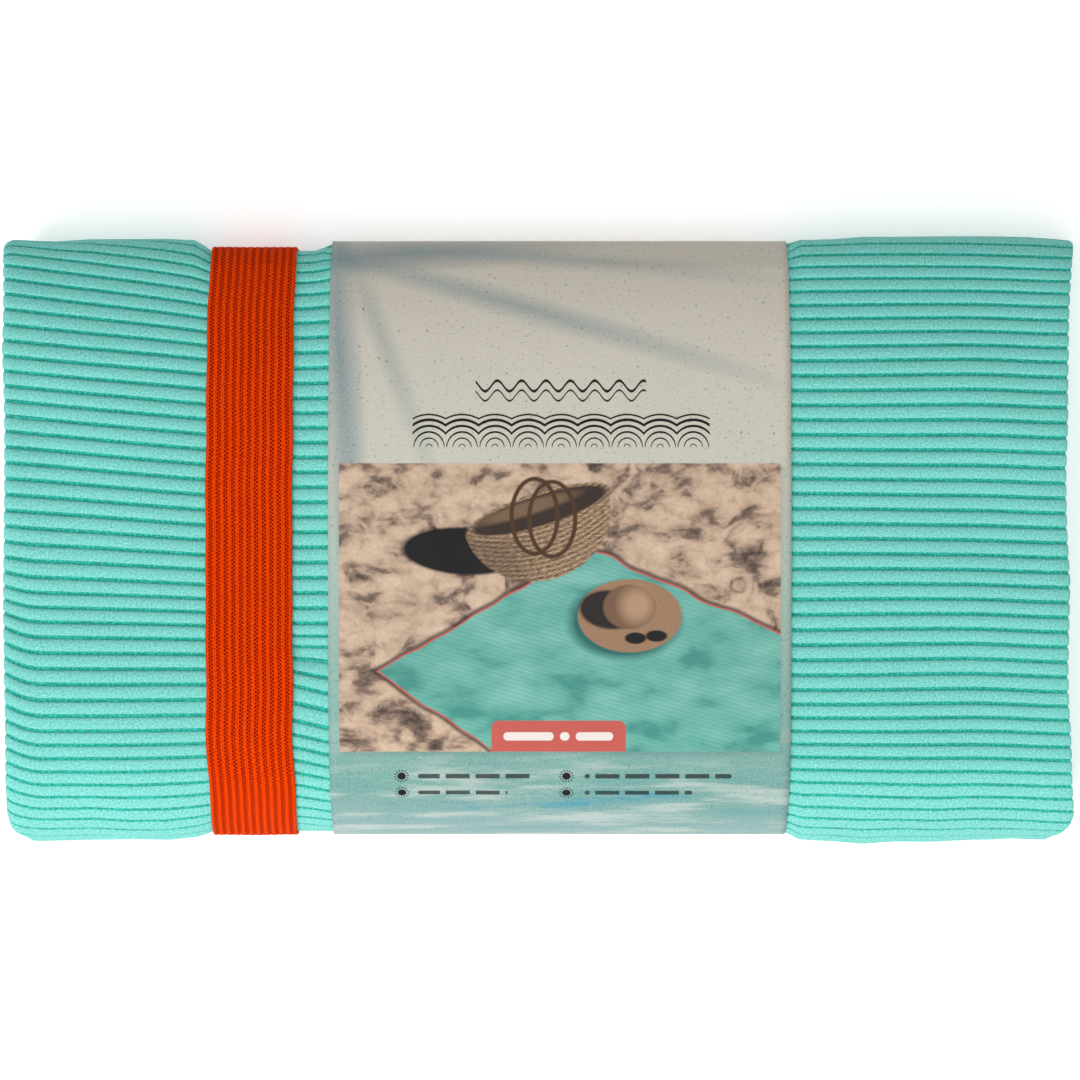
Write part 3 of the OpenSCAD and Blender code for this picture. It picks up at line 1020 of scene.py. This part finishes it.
def print_material():
    """Coated card printed with a beach in soft colours, a picture and plain ornaments."""
    n = Nodes("printed_card_front")
    vector = n.uv("Print")
    point = n.stretch(vector, (1 / MM,) * 3)
    colour = card_background(n, point)
    shadow = n.block(point, (PANEL_MIDDLE[0] + 0.8, PANEL_MIDDLE[1] - 0.8), PANEL_SIZE, 1.0, 2.4)
    colour = n.tint(shadow, 0.35, colour, srgb(70, 84, 84))
    panel = n.block(point, PANEL_MIDDLE, PANEL_SIZE)
    colour = n.mix(panel, colour, beach_picture(n, point))
    badge = n.block(point, BADGE_MIDDLE, BADGE_SIZE, 2.2)
    colour = n.mix(n.both(badge, panel), colour, CORAL)
    for middle, length in BADGE_BARS:
        colour = n.mix(n.block(point, middle, (length, 2.4), 1.1), colour, srgb(222, 213, 207))
    colour = ornaments(n, point, colour)
    fibre = n.noise(vector, 1500, 3, 0.6)
    wash = n.noise(vector, 90, 2)
    roughness = n.math("MULTIPLY_ADD", wash, 0.12, 0.46)
    return n.finish(colour, roughness, n.bump(fibre, 0.12, 0.05 * MM), level=0.2)


# ------- building
cloth = make_cloth()
finish_piece(cloth, [cloth_material()], ["towel_cloth"], "towel")
coral_thread = thread_material("coral_overlock", srgb(232, 92, 62), srgb(176, 52, 34))
for place, along_x in (("long", True), ("short", False)):
    for side, far in (("near", False), ("far", True)):
        edging = bound_edge(f"{place}_edging_{side}", along_x, far)
        finish_piece(edging, [coral_thread], [f"{place}_edge_overlock"], "towel")

elastic = make_elastic()
finish_piece(elastic, [elastic_material()], ["elastic_band"], "elastic")
stitches = make_join_stitches()
orange_thread = thread_material("orange_thread", srgb(236, 92, 34), srgb(150, 34, 4))
finish_piece(stitches, [orange_thread], ["elastic_join_stitch"], "elastic")

sleeve = make_sleeve()
finish_piece(sleeve, [print_material(), card_core_material()], ["sleeve_wrap"], "sleeve")

for node, material in (("sleeve_glue_strip", glue_material()), ("care_label", satin_material())):
    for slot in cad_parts[node].material_slots:
        slot.material = material


# ------- floor, light and camera
def make_stage():
    """A pale floor that glows more further out, so that no horizon shows."""
    mesh = bpy.data.meshes.new("floor")
    size = 6.0    # metres, from the middle to each side
    mesh.from_pydata([(-size, -size, 0), (size, -size, 0), (size, size, 0), (-size, size, 0)], [],
                     [(0, 1, 2, 3)])
    floor = link("floor", mesh)
    floor.location.z = -0.2 * MM
    n = Nodes("pale_floor")
    grain = n.noise(n.place(), 6, 2)
    mesh.materials.append(n.finish(n.mix(grain, (0.93, 0.93, 0.93), (0.95, 0.95, 0.95)), 0.9))
    n.shader.inputs["Emission Color"].default_value = (1, 1, 1, 1)
    glow = n.math("MULTIPLY_ADD", n.vector("LENGTH", n.place()), 0.12, 0.32)
    n.put(n.math("MINIMUM", glow, 0.62), n.shader.inputs["Emission Strength"])


def area_light(name, place, size, power):
    """A rectangular lamp that faces the origin."""
    data = bpy.data.lights.new(name, "AREA")
    data.shape = "RECTANGLE"
    data.size, data.size_y = size
    data.energy = power
    light = link(name, data)
    light.location = place
    light.rotation_euler = (-Vector(place)).to_track_quat("-Z", "Y").to_euler()


def make_lights():
    """White light from all round, stronger from -Y, and two lamps. The camera sees plain white."""
    world = bpy.data.worlds.new("soft_white")
    bpy.context.scene.world = world
    world.use_nodes = True
    tree = world.node_tree
    direction = tree.nodes.new("ShaderNodeTexCoord")
    split = tree.nodes.new("ShaderNodeSeparateXYZ")
    tree.links.new(direction.outputs["Generated"], split.inputs[0])
    level = tree.nodes.new("ShaderNodeMapRange")
    tree.links.new(split.outputs["Y"], level.inputs["Value"])
    for name, value in (("From Min", -1), ("From Max", 1), ("To Min", 0.64), ("To Max", 0.18)):
        level.inputs[name].default_value = value
    seen = tree.nodes.new("ShaderNodeMath")
    seen.operation = "MAXIMUM"
    tree.links.new(level.outputs[0], seen.inputs[0])
    tree.links.new(tree.nodes.new("ShaderNodeLightPath").outputs["Is Camera Ray"], seen.inputs[1])
    tree.links.new(seen.outputs[0], tree.nodes["Background"].inputs["Strength"])
    tree.nodes["Background"].inputs["Color"].default_value = (1, 1, 1, 1)
    area_light("key_from_below", (-0.75, -1.10, 1.20), (1.2, 0.8), 16.8)
    area_light("fill_above", (-0.1, -0.2, 1.9), (1.2, 1.2), 15.8)


def make_camera():
    """Straight above the front. The picture's width is taken at the sleeve's height."""
    distance, frame_width = 1.05, 0.3004
    data = bpy.data.cameras.new("camera")
    data.sensor_width = 36
    data.lens = data.sensor_width * distance / frame_width
    camera = link("camera", data)
    camera.location = (0, -0.4 * MM, sleeve_high.z + distance)
    bpy.context.scene.camera = camera
    bpy.context.scene.view_settings.view_transform = "Standard"


make_stage()
make_lights()
make_camera()
